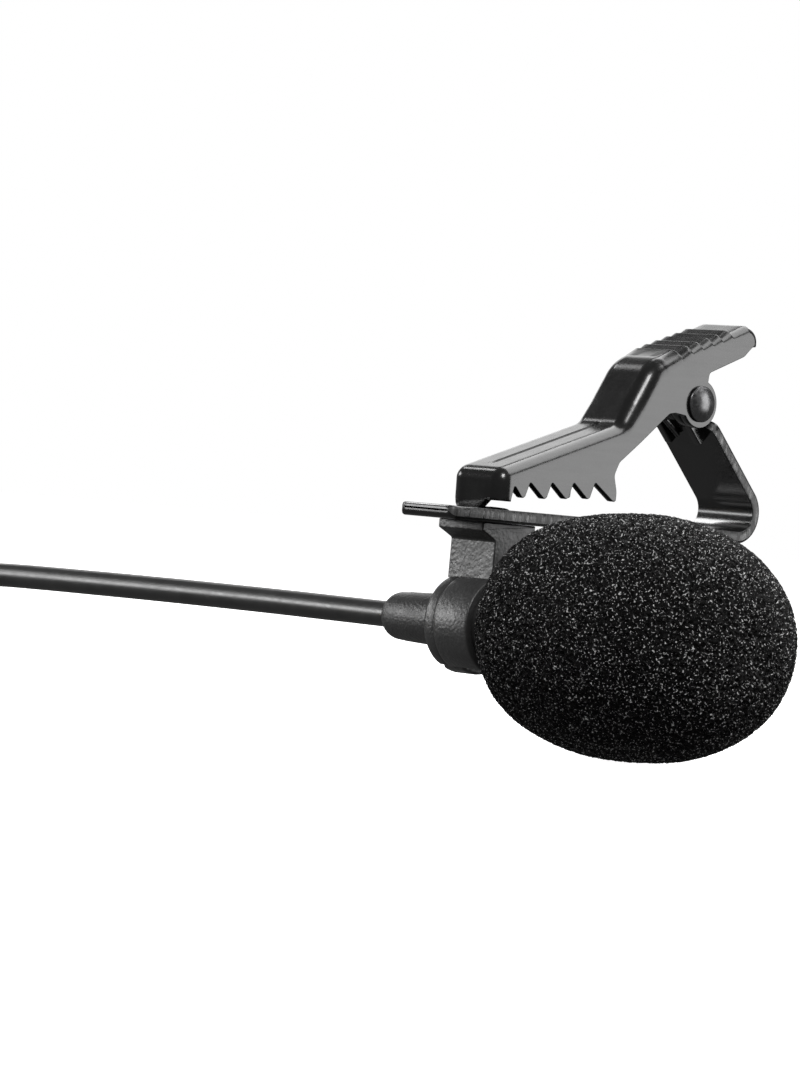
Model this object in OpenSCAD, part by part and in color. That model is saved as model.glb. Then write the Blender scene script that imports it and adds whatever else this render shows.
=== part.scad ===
// Lavalier microphone with foam windscreen, snap holder, sprung tie clip, coiled cable and plug

/* [Windscreen] */
// Outer diameter of the foam windscreen
foam_d = 20; // [19:0.5:22]
// Length of the foam windscreen along the microphone
foam_l = 27.1; // [26:0.1:28]
// Depth of the blind bore that the microphone pushes into
foam_bore_l = 8; // [8:0.2:14]
// Height of the foam's centre above the microphone's axis
foam_rise = 0.35; // [0:0.05:0.4]

/* [Microphone] */
// Outer diameter of the microphone housing
mic_d = 6.9; // [6.7:0.1:7]
// Length of the tubular housing
mic_l = 13.2; // [13:0.1:13.4]
// Diameter of the electret capsule
capsule_d = 5.8; // [5.4:0.1:5.8]

/* [Holder] */
// Wall of the snap ring around the housing
ring_wall = 0.74; // [0.7:0.02:0.9]
// Width of the ring, neck and flange along the microphone
holder_w = 5.2; // [5:0.1:5.4]
// Width of the gap in the underside of the snap ring
ring_gap = 4; // [3.9:0.1:4.4]
// Thickness of the neck between ring and flange
neck_t = 3.1; // [2.6:0.1:3.6]
// Length of the flange along the clip
flange_l = 6.4; // [6:0.1:7]

/* [Clip] */
// Width of the lower strip of the clip
strip_w = 6.5; // [6.4:0.1:7]
// Sheet thickness of the lower strip
strip_t = 1; // [0.9:0.05:1.1]
// Outside width of the toothed jaw
jaw_w = 5.8; // [5.7:0.1:6]
// Sheet thickness of the toothed jaw
jaw_t = 0.7; // [0.6:0.05:0.75]
// Diameter of the pivot pin
pin_d = 1.7; // [1.5:0.1:1.8]
// Diameter of the pin's domed heads
pin_head_d = 3.3; // [3:0.1:3.6]
// Distance from one tooth to the next
tooth_pitch = 2.62; // [2.5:0.02:2.7]
// Wire diameter of the torsion spring
wire_d = 0.5; // [0.4:0.05:0.6]

/* [Cable] */
// Diameter of the cable
cable_d = 2.3; // [2.2:0.1:2.4]
// Radius of the coil at the middle of its turns
coil_r = 13.3; // [13.2:0.1:13.4]
// Turns side by side in the coil
coil_columns = 3; // [3:1:3]
// Layers of turns in the coil
coil_layers = 4; // [4:1:4]

/* [Plug] */
// Diameter of the plug's contacts
plug_d = 3.5; // [3.5:0.1:3.5]
// Length of the plug's contacts
plug_l = 14; // [14:0.5:14]
// Diameter of the plug's moulded grip
grip_d = 7.2; // [7:0.2:7.2]
// Length of the plug's moulded grip with its tapered end
grip_l = 18; // [16:1:19]

/* [Hidden] */
$fn = 64;

// The microphone's axis runs along X, the clip along Y. Below, "mic frame" means
// coordinates measured from the point where the clip's centre plane meets that axis.
axis_at = [-9.85, -10.4, foam_d / 2 - foam_rise];

// Lengths along X in the mic frame
boot_end = -12.3;
housing_rear = -2.4;
housing_front = housing_rear + mic_l;
grille_l = 1.8;
foam_rear = 4.9;
foam_mid = foam_rear + 12.9;
mic_r = mic_d / 2;
housing_wall = 0.35;
bore_r = mic_r - housing_wall;
rear_wall = 0.8;
slide_gap = 0.05;

// Electret capsule, placed by its front face
capsule_front = housing_front - 0.7;
capsule_l = 2.8;
capsule_wall = 0.2;
capsule_r = capsule_d / 2;
stack_r = capsule_r - capsule_wall - 0.03;
lip_l = 0.2;
board_t = 0.4;
board_rear = capsule_front - capsule_l + lip_l;
can_face = capsule_front - 0.25;
ring_t = 0.3;
film_t = 0.08;
backplate_t = 0.4;
film_rear = can_face - ring_t - film_t;
backplate_front = film_rear - 0.1;
backplate_rear = backplate_front - backplate_t;

// Holder
ring_bore_r = mic_r + slide_gap;
ring_r = ring_bore_r + ring_wall;
ring_rear = -holder_w / 2;
ring_chamfer_l = 1.4;
ring_chamfer = 0.57;
flange_z = 7.92;
bevel_z = 7;
key_w = ring_gap - 0.3;
key_front = 0.2;

// Lower strip, in the mic frame's Y and Z
strip_z = 8.75;
strip_tip = -7;
strip_end = 30.8;
bend_r = 2.7;
bend_at = [strip_end - bend_r, strip_z + bend_r];
bend_angle = 45;
strap_l = 8.5;
ear_t = 0.7;
ear_gap = 0.1;
ear_r = 2;
ear_outer = jaw_w / 2 - jaw_t - ear_gap;

// Toothed jaw, in the mic frame's Y and Z
pin_at = [21.85, 20.7];
pin_clear = 0.05;
jaw_ear_r = 2.15;
jaw_nose = -2.45;
jaw_slope = 19.9;
lip_z = strip_z + strip_t + 0.03;
lip_w = 2.8;
tooth_z = 10.62;
tooth_first = 0.58;
tooth_rise = 0.07;
tooth_h = 1.4;
tooth_count = 4;
rib_pitch = 1.33;
rib_count = 5;
groove_w = 0.36;
groove_depth = 0.22;

// Outer line of the jaw and its handle, from the nose over the top to the handle's end
jaw_top = [
    [jaw_nose, 12], [-2.32, 12.5], [-1.95, 12.85], [-1.5, 13.08], [-0.2, 13.52],
    [12.6, 18.16], [13.2, 18.5], [13.7, 19.1], [15.2, 21.85], [16.35, 23.35],
    [17.2, 24.1], [18.1, 24.6], [19.4, 25.02], [27, 28.02], [27.8, 28.12]
];
handle_end = [[28.5, 27.8], [28.75, 27.2], [28.65, 26.6], [28.2, 26], [27.5, 25.5]];
// Underside of the side walls, from the handle's end back to the last tooth
jaw_under = [
    [22.95, 23.55], [22.6, 23.25], [22.3, 22.6], pin_at, [18.9, 19.6], [18, 19.55],
    [16.6, 18.3], [12.5, 14.95], [12, 14.4], [11.75, 13.8], [11.75, 13.2], [12.1, 12.3]
];
// Inner face of the sheet, from inside the nose to the open end of the handle
jaw_inside = [
    [jaw_nose + jaw_t, 0], [jaw_nose + jaw_t, 12.15], [-1.2, 12.45], [12.85, 17.5],
    [13.6, 17.95], [14.25, 18.7], [15.8, 21.45], [16.85, 22.8], [17.6, 23.45],
    [18.4, 23.9], [19.65, 24.35], [31, 28.83], [31, 0]
];

// Cable route in the object's own frame
cable_r = cable_d / 2;
coil_pitch = cable_d + 0.1;
layer_pitch = cable_d + 0.05;
tie_t = 0.6;
tie_w = 5;
coil_outer = coil_r + coil_pitch * (coil_columns - 1) / 2;
coil_at = [-112, -10.4 - coil_outer, 0];
run_route = [
    [boot_end + axis_at[0], -10.4, axis_at[2]], [-28.5, -10.4, 9.65], [-35, -10.4, 9.65],
    [-42, -10.4, 9.62], [-48.5, -10.4, 9.58], [-55, -10.4, 9.52], [-61.5, -10.4, 9.44],
    [-68, -10.4, 9.35], [-74.5, -10.4, 9.2], [-80.5, -10.4, 8.8], [-86, -10.4, 7.8],
    [-91, -10.4, 6.1], [-96, -10.4, 4.1], [-101, -10.4, 2.3], [-106, -10.4, 1.35],
    [-112, -10.4, 1.2]
];
tail_route = [
    [-112, -41.8, 8.2], [-108, -41.8, 8.1], [-104, -41.7, 7.7], [-100, -41.4, 6.8],
    [-96, -41, 5.7], [-92, -40.6, 4.7], [-88, -40.2, 3.9], [-84, -40, 3.6], [-80, -40, 3.6]
];
plug_at = tail_route[len(tail_route) - 1];
insulator_l = 0.6;
band_l = 2.4;
tip_l = 4.4;

// Torsion spring: a coil round the pin, with one leg on the strap and one under the handle
spring_r = 1.3;
spring_lead = 0.6;
spring_from = -124;
spring_turn = -1177.9;
spring_steps = 52;
spring_w = -spring_turn / 360 * spring_lead;
strap_leg = [23.67, 17.9];
handle_leg = [24.9, 26];

function unit(v) = v / norm(v);
function tangent(p, i) = unit(p[min(i + 1, len(p) - 1)] - p[max(i - 1, 0)]);
function ring(c, t, ref, r, n) =
    let(s = unit(cross(t, ref)), u = cross(s, t))
    [for (k = [0 : n - 1]) c + r * (cos(360 * k / n) * s + sin(360 * k / n) * u)];
function arc(c, r, a0, a1, n) =
    [for (k = [0 : n]) let(a = a0 + (a1 - a0) * k / n) c + r * [cos(a), sin(a)]];

// A round tube of n sides along the points p; ref is never parallel to the path
module tube(p, r, n, ref = [0, 0, 1]) {
    points = [for (i = [0 : len(p) - 1]) each ring(p[i], tangent(p, i), ref, r, n)];
    last = (len(p) - 1) * n;
    sides = [
        for (i = [0 : len(p) - 2])
            for (k = [0 : n - 1])
                let(a = i * n + k, b = i * n + (k + 1) % n)
                    each [[a, b, b + n], [a, b + n, a + n]]
    ];
    start_cap = [for (k = [n - 1 : -1 : 0]) k];
    end_cap = [for (k = [0 : n - 1]) last + k];
    polyhedron(points = points, faces = concat(sides, [start_cap, end_cap]), convexity = 8);
}

module in_mic_frame() {
    translate(axis_at) children();
}

// A solid of revolution about the microphone's axis, from [x, radius] points
module turned(points) {
    rotate([0, 90, 0])
        rotate_extrude() polygon([for (p = points) [p[1], p[0]]]);
}

// A [y, z] outline given a width along X, centred on x
module across(x, w) {
    translate([x - w / 2, 0, 0])
        rotate([90, 0, 90]) linear_extrude(height = w) children();
}

module disc(x, l, r, hole = 0) {
    translate([x, 0, 0]) rotate([0, 90, 0])
        difference() {
            cylinder(h = l, r = r);
            if (hole > 0)
                translate([0, 0, -1]) cylinder(h = l + 2, r = hole);
        }
}

// Holes of radius r along X, evenly spaced on a circle
module holes_x(x, l, r, circle_r, count) {
    for (k = [0 : count - 1])
        rotate([360 * k / count, 0, 0])
            translate([x, 0, circle_r]) rotate([0, 90, 0]) cylinder(h = l, r = r, $fn = 24);
}

// Half of the foam's outline: blunt behind the widest place and more pointed ahead of it
function foam_curve(half, power, a0, a1, n) = [
    for (k = [0 : n])
        let(a = a0 + (a1 - a0) * k / n)
            [foam_mid + half * cos(a), foam_d / 2 * pow(sin(a), power)]
];

module windscreen_foam() {
    rear_half = foam_mid - foam_rear + 0.3;
    front_half = foam_rear + foam_l - foam_mid;
    first = acos(-(foam_mid - foam_rear) / rear_half);
    color([0.05, 0.05, 0.05]) in_mic_frame() difference() {
        translate([0, 0, foam_rise]) turned(concat(
            [[foam_rear, 0]], foam_curve(rear_half, 0.5, first, 90, 16),
            foam_curve(front_half, 0.74, 85, 0, 17)
        ));
        turned([
            [foam_rear - 1, 0], [foam_rear - 1, mic_r + 0.6], [foam_rear, mic_r + 0.6],
            [foam_rear + 0.5, mic_r + 0.1], [foam_rear + foam_bore_l, mic_r + 0.1],
            [foam_rear + foam_bore_l, 0]
        ]);
    }
}

module mic_housing() {
    color([0.08, 0.08, 0.08]) in_mic_frame() {
        turned([
            [housing_rear, 1.7], [housing_rear, mic_r - 0.2], [housing_rear + 0.2, mic_r],
            [housing_front, mic_r], [housing_front, bore_r], [housing_rear + rear_wall, bore_r],
            [housing_rear + rear_wall, 1.7]
        ]);
        // Locating key that stands in the gap of the snap ring
        intersection() {
            translate([housing_rear + 0.1, -key_w / 2, -ring_r - 1])
                cube([key_front - housing_rear - 0.1, key_w, ring_r + 1 - mic_r + 0.1]);
            turned([
                [housing_rear, 0], [housing_rear, ring_r - 0.3], [housing_rear + 0.6, ring_r + 0.06],
                [key_front - 0.7, ring_r + 0.06], [key_front, ring_r - 0.3], [key_front, 0]
            ]);
        }
    }
}

module front_grille() {
    front = housing_front + grille_l;
    color([0.1, 0.1, 0.1]) in_mic_frame() difference() {
        turned([
            [housing_front - 0.5, bore_r - 0.5], [housing_front - 0.5, bore_r - 0.02],
            [housing_front, bore_r - 0.02], [housing_front, mic_r], [front - 0.5, mic_r],
            [front - 0.15, mic_r - 0.15], [front, mic_r - 0.5], [front, 0], [front - 0.5, 0],
            [front - 0.5, bore_r - 0.5]
        ]);
        holes_x(front - 1, 2, 0.4, 0, 1);
        holes_x(front - 1, 2, 0.4, 1.15, 6);
        holes_x(front - 1, 2, 0.3, 2.2, 12);
    }
}

module dust_cloth() {
    color([0.15, 0.15, 0.15]) in_mic_frame()
        disc(housing_front + grille_l - 0.62, 0.1, bore_r - 0.55);
}

module capsule_felt() {
    color([0.1, 0.1, 0.1]) in_mic_frame() disc(capsule_front, 0.2, capsule_r - 0.5);
}

module capsule_can() {
    color([0.75, 0.75, 0.76]) in_mic_frame() difference() {
        disc(capsule_front - capsule_l, capsule_l, capsule_r);
        disc(board_rear, can_face - board_rear, capsule_r - capsule_wall);
        disc(board_rear - 1, 2, capsule_r - 0.7);
        holes_x(can_face - 1, 2, 0.5, 0, 1);
    }
}

module capsule_sleeve() {
    color([0.05, 0.05, 0.05]) in_mic_frame()
        disc(capsule_front - 2.5, 2.2, bore_r - 0.02, capsule_r + 0.02);
}

module diaphragm_ring() {
    color([0.8, 0.65, 0.35]) in_mic_frame() disc(can_face - ring_t, ring_t, stack_r, stack_r - 0.45);
}

module diaphragm() {
    color([0.8, 0.8, 0.7]) in_mic_frame() disc(film_rear, film_t, stack_r);
}

module spacer_ring() {
    color([0.9, 0.9, 0.85]) in_mic_frame() disc(backplate_front, 0.1, stack_r, stack_r - 0.3);
}

module backplate() {
    color([0.8, 0.65, 0.35]) in_mic_frame() difference() {
        disc(backplate_rear, backplate_t, stack_r - 0.35);
        holes_x(backplate_rear - 0.5, backplate_t + 1, 0.2, 1.2, 4);
    }
}

module backplate_holder() {
    front = backplate_front;
    seat = backplate_rear;
    rear = board_rear + board_t;
    color([0.92, 0.92, 0.9]) in_mic_frame() turned([
        [rear, stack_r - 0.75], [rear, stack_r], [front, stack_r], [front, stack_r - 0.33],
        [seat, stack_r - 0.33], [seat, stack_r - 0.75]
    ]);
}

module capsule_board() {
    color([0.1, 0.35, 0.15]) in_mic_frame() disc(board_rear, board_t, stack_r);
}

module board_transistor() {
    color([0.08, 0.08, 0.08]) in_mic_frame()
        translate([board_rear + board_t, -0.65, -0.5]) cube([0.55, 1.3, 1]);
}

module solder_joints() {
    color([0.75, 0.75, 0.76]) in_mic_frame()
        for (side = [-1, 1])
            translate([board_rear - 0.5, side * 0.9, 0]) rotate([0, 90, 0])
                cylinder(h = 0.5, r1 = 0.3, r2 = 0.55, $fn = 24);
}

module lead_wires() {
    color([0.6, 0.1, 0.08]) in_mic_frame()
        for (side = [-1, 1])
            translate([housing_rear + rear_wall + 0.8, side * 0.9, 0]) rotate([0, 90, 0])
                cylinder(h = board_rear - 0.5 - housing_rear - rear_wall - 0.8, r = 0.3, $fn = 24);
}

module strain_relief() {
    shoulder = arc([boot_end + 1.5, 0.55], 1.5, 155, 92, 6);
    inner = housing_rear + rear_wall;
    color([0.07, 0.07, 0.07]) in_mic_frame() turned(concat(
        [[boot_end, 0]], shoulder,
        [[-5, 2.26], [housing_rear - 0.02, 2.36], [housing_rear - 0.02, 1.65], [inner + 0.02, 1.65],
         [inner + 0.02, 2.5], [inner + 0.8, 2.3], [inner + 0.8, 0]]
    ));
}

module holder_section() {
    half = flange_l / 2;
    polygon([
        [-neck_t / 2, 0], [-neck_t / 2, bevel_z], [-half, flange_z], [-half, strip_z],
        [half, strip_z], [half, flange_z], [neck_t / 2, bevel_z], [neck_t / 2, 0]
    ]);
}

module mic_holder() {
    color([0.09, 0.09, 0.09]) in_mic_frame() difference() {
        union() {
            turned([
                [ring_rear, 0], [ring_rear, ring_r - ring_chamfer],
                [ring_rear + ring_chamfer_l, ring_r], [-ring_rear - 0.15, ring_r],
                [-ring_rear, ring_r - 0.15], [-ring_rear, 0]
            ]);
            across(0, holder_w) holder_section();
        }
        disc(ring_rear - 1, holder_w + 2, ring_bore_r);
        translate([ring_rear - 1, -ring_gap / 2, -ring_r - 1])
            cube([holder_w + 2, ring_gap, ring_r]);
        translate([0, 0, 5.4]) cylinder(h = 6, r = 1, $fn = 32);
    }
}

module holder_rivet() {
    top = strip_z + strip_t;
    color([0.12, 0.12, 0.12]) in_mic_frame() {
        translate([0, 0, 5.6]) cylinder(h = top - 5.6, r = 0.98, $fn = 32);
        translate([0, 0, top]) cylinder(h = 0.3, r1 = 1.6, r2 = 1.3, $fn = 32);
    }
}

// Cross-section of the lower strip: plate, bend and the strap that rises to the pin
module strip_section() {
    out = [cos(bend_angle), sin(bend_angle)];
    along = [-sin(bend_angle), cos(bend_angle)];
    polygon(concat(
        [[strip_tip, strip_z]],
        arc(bend_at, bend_r, -90, bend_angle, 27),
        [bend_at + bend_r * out + strap_l * along],
        [bend_at + (bend_r - strip_t) * out + strap_l * along],
        arc(bend_at, bend_r - strip_t, bend_angle, -90, 27),
        [[strip_tip, strip_z + strip_t]]
    ));
}

// One ear at the head of the strap, before it is given its thickness: a disc round the
// pin and a root that widens into the strap
module strip_ear_section() {
    translate(pin_at) circle(r = ear_r);
    translate(bend_at) rotate(bend_angle)
        polygon([[0.6, 7.3], [bend_r - 0.08, 7.3], [bend_r - 0.08, 8.6], [3.9, 10.5], [0.3, 10.5]]);
}

module clip_strip() {
    color([0.07, 0.07, 0.07]) in_mic_frame() difference() {
        union() {
            intersection() {
                across(0, strip_w) strip_section();
                linear_extrude(height = 40) strip_plan();
            }
            for (side = [-1, 1])
                across(side * (ear_outer - ear_t / 2), ear_t) strip_ear_section();
        }
        across(0, 20) translate(pin_at) circle(r = pin_d / 2 + 0.02, $fn = 32);
        translate([0, 0, strip_z - 1]) cylinder(h = 4, r = 1, $fn = 32);
    }
}

// The strip seen from above, with the tip's corners rounded
module strip_plan() {
    r = 0.9;
    half = strip_w / 2;
    translate([-half, strip_tip + r]) square([strip_w, 60]);
    translate([-half + r, strip_tip]) square([strip_w - 2 * r, 2]);
    for (side = [-1, 1])
        translate([side * (half - r), strip_tip + r]) circle(r = r, $fn = 48);
}

function tooth_tip(k) = [tooth_first + k * tooth_pitch, tooth_z + 0.28 + k * tooth_pitch * tooth_rise];
// Tooth edge from the last tooth forward to the nose: each tooth is steep behind, sloped ahead
function teeth() = [
    for (k = [tooth_count : -1 : 0])
        let(t = tooth_tip(k), steep = k == tooth_count ? 0 : 0.85)
            each [
                if (k < tooth_count) t + [steep, tooth_h],
                if (k < tooth_count) t + [steep - 0.18, tooth_h - 0.12],
                t + [k == tooth_count ? 0.5 : 0.22, 0.14],
                t + [k == tooth_count ? 0.25 : 0.06, 0],
                t + [-0.14, 0.02]
            ]
];

module jaw_outline() {
    difference() {
        polygon(concat(
            jaw_top, handle_end, jaw_under, teeth(),
            [[-0.35, 12.05], [-0.5, 11.95], [-0.68, 10.72], [-0.86, 10.6], [jaw_nose, tooth_z]]
        ));
    }
    translate(pin_at) circle(r = jaw_ear_r);
}

// The nose seen from above: its two corners are rounded
module jaw_plan() {
    r = 1.3;
    half = jaw_w / 2;
    translate([-half, jaw_nose + r]) square([jaw_w, 60]);
    translate([-half + r, jaw_nose]) square([jaw_w - 2 * r, 2]);
    for (side = [-1, 1])
        translate([side * (half - r), jaw_nose + r]) circle(r = r, $fn = 48);
}

module clip_jaw() {
    color([0.07, 0.07, 0.07]) in_mic_frame() difference() {
        union() {
            intersection() {
                across(0, jaw_w) jaw_outline();
                linear_extrude(height = 40) jaw_plan();
            }
            // Lip that the nose rests on, cut back at both sides
            translate([0, jaw_nose, 0]) rotate([90, 0, 0]) mirror([0, 0, 1])
                linear_extrude(height = jaw_t) polygon([
                    [-lip_w / 2 - 0.8, tooth_z + 0.4], [-lip_w / 2 - 0.5, lip_z + 0.4],
                    [-lip_w / 2, lip_z], [lip_w / 2, lip_z], [lip_w / 2 + 0.5, lip_z + 0.4],
                    [lip_w / 2 + 0.8, tooth_z + 0.4]
                ]);
            handle_ribs();
        }
        across(0, jaw_w - 2 * jaw_t) polygon(jaw_inside);
        across(0, 20) translate(pin_at) circle(r = pin_d / 2 + pin_clear, $fn = 32);
        translate([0, -0.2, 13.52]) rotate([jaw_slope, 0, 0])
            translate([-groove_w / 2, 0, -groove_depth]) cube([groove_w, 12.4, 1]);
    }
}

// Low ribs across the thumb plate
module handle_ribs() {
    for (k = [0 : rib_count - 1])
        translate([0, jaw_top[12][0] + 0.5 + k * rib_pitch, jaw_top[12][1] + 0.2 + k * rib_pitch * 0.395])
            rotate([0, 90, 0]) cylinder(h = jaw_w - 0.5, r = 0.24, center = true, $fn = 16);
}

module pivot_pin() {
    head_r = pin_head_d / 2;
    face = jaw_w / 2 + 0.05;
    rim = face + 0.42;
    dome = arc([rim - 1.45, 0], 2.2, 48.6, 0, 8);
    half = concat([[rim, head_r]], [for (p = dome) if (p[1] < head_r) p]);
    color([0.25, 0.25, 0.26]) in_mic_frame() translate([0, pin_at[0], pin_at[1]]) {
        turned([[-face - 0.1, 0], [-face - 0.1, pin_d / 2], [face + 0.1, pin_d / 2], [face + 0.1, 0]]);
        for (side = [0, 1])
            mirror([side, 0, 0]) turned(concat([[face, 0], [face, head_r - 0.08]], half));
    }
}

function spring_point(a) =
    [spring_w * ((a - spring_from) / spring_turn - 0.5),
     pin_at[0] + spring_r * cos(a), pin_at[1] + spring_r * sin(a)];
function spring_route() = concat(
    [[-spring_w / 2, strap_leg[0], strap_leg[1]]],
    [for (k = [0 : spring_steps]) spring_point(spring_from + spring_turn * k / spring_steps)],
    [[spring_w / 2, handle_leg[0], handle_leg[1]]]
);

module torsion_spring() {
    color([0.3, 0.3, 0.31]) in_mic_frame() tube(spring_route(), wire_d / 2, 8, [1, 0, 0]);
}

module cable_run() {
    color([0.06, 0.06, 0.06]) tube(run_route, cable_r, 8);
}

// The space taken by all the turns, before the tie squeezes them
module coil_body() {
    w = coil_columns * coil_pitch;
    h = coil_layers * layer_pitch;
    c = cable_r * 0.8;
    inner = coil_r - w / 2;
    translate(coil_at)
        rotate_extrude() polygon([
            [inner + c, 0], [inner + w - c, 0], [inner + w, c], [inner + w, h - c],
            [inner + w - c, h], [inner + c, h], [inner, h - c], [inner, c]
        ]);
}

module cable_coil() {
    color([0.06, 0.06, 0.06]) difference() {
        coil_body();
        tie_band();
    }
}

module cable_tail() {
    color([0.06, 0.06, 0.06]) tube(tail_route, cable_r, 8);
}

// A strap once round the turns, lying on the surface with them
module tie_band() {
    w = coil_columns * coil_pitch;
    h = coil_layers * layer_pitch;
    translate([coil_at[0] - coil_r - w / 2, coil_at[1] - tie_w / 2, 0])
        difference() {
            translate([-tie_t, 0, 0]) cube([w + 2 * tie_t, tie_w, h + tie_t]);
            translate([0, -1, tie_t]) cube([w, tie_w + 2, h - tie_t]);
        }
}

module coil_tie() {
    color([0.12, 0.12, 0.12]) tie_band();
}

module in_plug_frame() {
    translate(plug_at) children();
}

module plug_grip() {
    r = grip_d / 2;
    taper = 7;
    color([0.07, 0.07, 0.07]) in_plug_frame() turned([
        [0, 0], [0, cable_r + 0.35], [taper, 2.2], [taper + 0.5, r - 0.5], [taper + 1, r],
        [grip_l - 0.6, r], [grip_l, r - 0.6], [grip_l, 0.9], [grip_l - 6, 0.9], [grip_l - 6, 0]
    ]);
}

module plug_sleeve() {
    r = plug_d / 2;
    end = grip_l + plug_l - tip_l - 2 * band_l - 3 * insulator_l;
    color([0.85, 0.7, 0.35]) in_plug_frame() turned([
        [grip_l, 0.91], [grip_l, 2.6], [grip_l + 0.5, 2.6], [grip_l + 0.5, r], [end, r], [end, 0.91]
    ]);
}

module plug_band(start) {
    color([0.85, 0.7, 0.35]) in_plug_frame() disc(start, band_l, plug_d / 2, 0.91);
}

module plug_ring_inner() {
    plug_band(grip_l + plug_l - tip_l - 2 * band_l - 2 * insulator_l);
}

module plug_ring_outer() {
    plug_band(grip_l + plug_l - tip_l - band_l - insulator_l);
}

module plug_tip() {
    r = plug_d / 2;
    base = grip_l + plug_l - tip_l;
    color([0.85, 0.7, 0.35]) in_plug_frame() turned([
        [grip_l - 6, 0], [grip_l - 6, 0.9], [base, 0.9], [base, r], [base + 0.4, r],
        [base + 1.1, r - 0.5], [base + 1.5, r - 0.5], [base + 2.1, r - 0.05], [base + 2.5, r - 0.05],
        [base + 3.6, 0.9], [base + 4.1, 0.6], [base + tip_l, 0]
    ]);
}

module plug_insulators() {
    base = grip_l + plug_l - tip_l;
    color([0.05, 0.05, 0.05]) in_plug_frame()
        for (k = [0 : 2])
            disc(base - insulator_l - k * (band_l + insulator_l), insulator_l, plug_d / 2, 0.91);
}

windscreen_foam();
mic_housing();
front_grille();
dust_cloth();
capsule_felt();
capsule_can();
capsule_sleeve();
diaphragm_ring();
diaphragm();
spacer_ring();
backplate();
backplate_holder();
capsule_board();
board_transistor();
solder_joints();
lead_wires();
strain_relief();
mic_holder();
holder_rivet();
clip_strip();
clip_jaw();
pivot_pin();
torsion_spring();
cable_run();
cable_coil();
cable_tail();
coil_tie();
plug_grip();
plug_sleeve();
plug_ring_inner();
plug_ring_outer();
plug_tip();
plug_insulators();
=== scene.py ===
import math

import bmesh
import bpy
import numpy as np
from mathutils import Matrix, Vector, noise


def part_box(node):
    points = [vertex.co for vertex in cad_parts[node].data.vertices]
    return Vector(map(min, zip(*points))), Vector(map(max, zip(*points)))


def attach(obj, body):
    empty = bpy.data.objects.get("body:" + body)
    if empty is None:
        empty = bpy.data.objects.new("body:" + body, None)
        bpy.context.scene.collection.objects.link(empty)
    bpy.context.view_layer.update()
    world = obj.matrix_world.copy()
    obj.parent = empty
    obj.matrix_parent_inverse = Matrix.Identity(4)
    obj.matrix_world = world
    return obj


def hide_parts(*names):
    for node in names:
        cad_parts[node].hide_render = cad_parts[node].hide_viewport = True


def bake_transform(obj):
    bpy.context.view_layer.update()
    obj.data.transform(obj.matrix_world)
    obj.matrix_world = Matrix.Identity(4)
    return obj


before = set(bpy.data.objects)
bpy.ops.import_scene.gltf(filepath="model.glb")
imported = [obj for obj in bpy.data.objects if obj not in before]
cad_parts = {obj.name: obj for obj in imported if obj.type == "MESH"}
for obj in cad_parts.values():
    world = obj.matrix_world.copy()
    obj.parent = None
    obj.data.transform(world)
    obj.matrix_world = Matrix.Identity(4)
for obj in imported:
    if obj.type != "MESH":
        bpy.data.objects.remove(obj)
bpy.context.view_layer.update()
MM = 0.001

# ---------------------------------------------------------------- places taken from the frame
# Shapes are written in millimetres from the point where the clip's centre plane meets the
# microphone's axis, which is along X. The clip runs along Y.


def middle(node):
    low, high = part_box(node)
    return (low + high) / 2


AXIS = Vector((middle("mic_holder").x, middle("strain_relief").y, middle("strain_relief").z))


def placed(points):
    return np.asarray(points, float) * MM + np.array(AXIS)


def linked(name, data):
    """A new object with this data, put in the scene."""
    o = bpy.data.objects.new(name, data)
    bpy.context.scene.collection.objects.link(o)
    return o


# ---------------------------------------------------------------- camera
# A long lens, placed and turned so that the pieces fall where the photograph has them
LENS_MM = 148.62
CAMERA_AT = Vector((0.25893, -0.28297, 0.019))
RIGHT = Vector((0.695, 0.71357, 0.08833)).normalized()
LOOK = Vector((-0.71583, 0.69823, -0.00839)).normalized()
UP = RIGHT.cross(LOOK).normalized()

camera_data = bpy.data.cameras.new("camera")
camera_data.lens = LENS_MM
camera_data.sensor_width = 36
camera_data.clip_start = 0.01
camera_data.clip_end = 20
camera = linked("camera", camera_data)
turn = Matrix((RIGHT, UP, -LOOK)).transposed().to_4x4()
camera.matrix_world = Matrix.Translation(CAMERA_AT) @ turn
bpy.context.scene.camera = camera


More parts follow.
